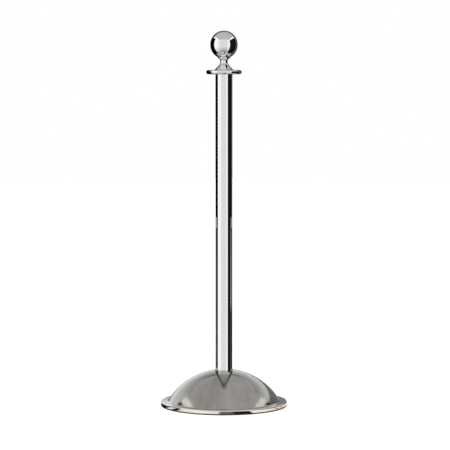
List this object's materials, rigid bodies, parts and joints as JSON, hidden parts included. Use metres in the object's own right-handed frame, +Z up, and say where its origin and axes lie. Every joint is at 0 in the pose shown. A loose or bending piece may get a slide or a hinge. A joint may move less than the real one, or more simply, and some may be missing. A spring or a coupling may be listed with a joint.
{
  "type": "rope barrier stanchion",
  "caption": "Free-standing rope barrier post: weighted spun-metal dome base, plain polished tube, round collar pierced for rope hooks, and a ball finial that unscrews.",
  "frame": {"origin": "centre of the base's underside, on the floor", "axes": "+Z up the post; +X and +Y each pass through a rope hole"},
  "size_m": [0.332, 0.332, 0.9848],
  "materials": {
    "polished_metal": "polished",
    "brushed_cover": "satin",
    "cast_iron": "matte",
    "rubber": "matte",
    "plated_steel": "satin",
    "nylon": "satin"
  },
  "bodies": {
    "post": {"floor_ring": "rubber", "base_weight": "cast_iron", "base_cover": "brushed_cover", "base_bolt": "plated_steel", "spring_washer": "plated_steel", "flat_washer": "plated_steel", "lower_plug": "plated_steel", "post_tube": "polished_metal", "upper_plug": "plated_steel", "finial_stud": "plated_steel", "stud_washer": "plated_steel", "stud_nut": "plated_steel", "collar_washer": "nylon", "finial_neck": "polished_metal"},
    "collar": {"rope_collar": "polished_metal"},
    "seat": {"ball_seat_ring": "polished_metal"},
    "ball": {"ball_lower_shell": "polished_metal", "ball_upper_shell": "polished_metal", "ball_insert": "plated_steel"}
  },
  "joints": [
    {"name": "collar_turn", "type": "hinge", "parent": "post", "child": "collar", "pos_m": [0, 0, 0.87686], "axis": [0, 0, 1], "continuous": true},
    {"name": "ball_lift", "type": "slide", "parent": "post", "child": "seat", "axis": [0, 0, 1], "range_m": [0, 0.014]},
    {"name": "ball_turn", "type": "hinge", "parent": "seat", "child": "ball", "pos_m": [0, 0, 0.91212], "axis": [0, 0, 1], "range_deg": [0, 2880]}
  ],
  "couplings": [
    {"joint": "ball_lift", "follows": "ball_turn", "m_per_rad": 0.00027852}
  ]
}
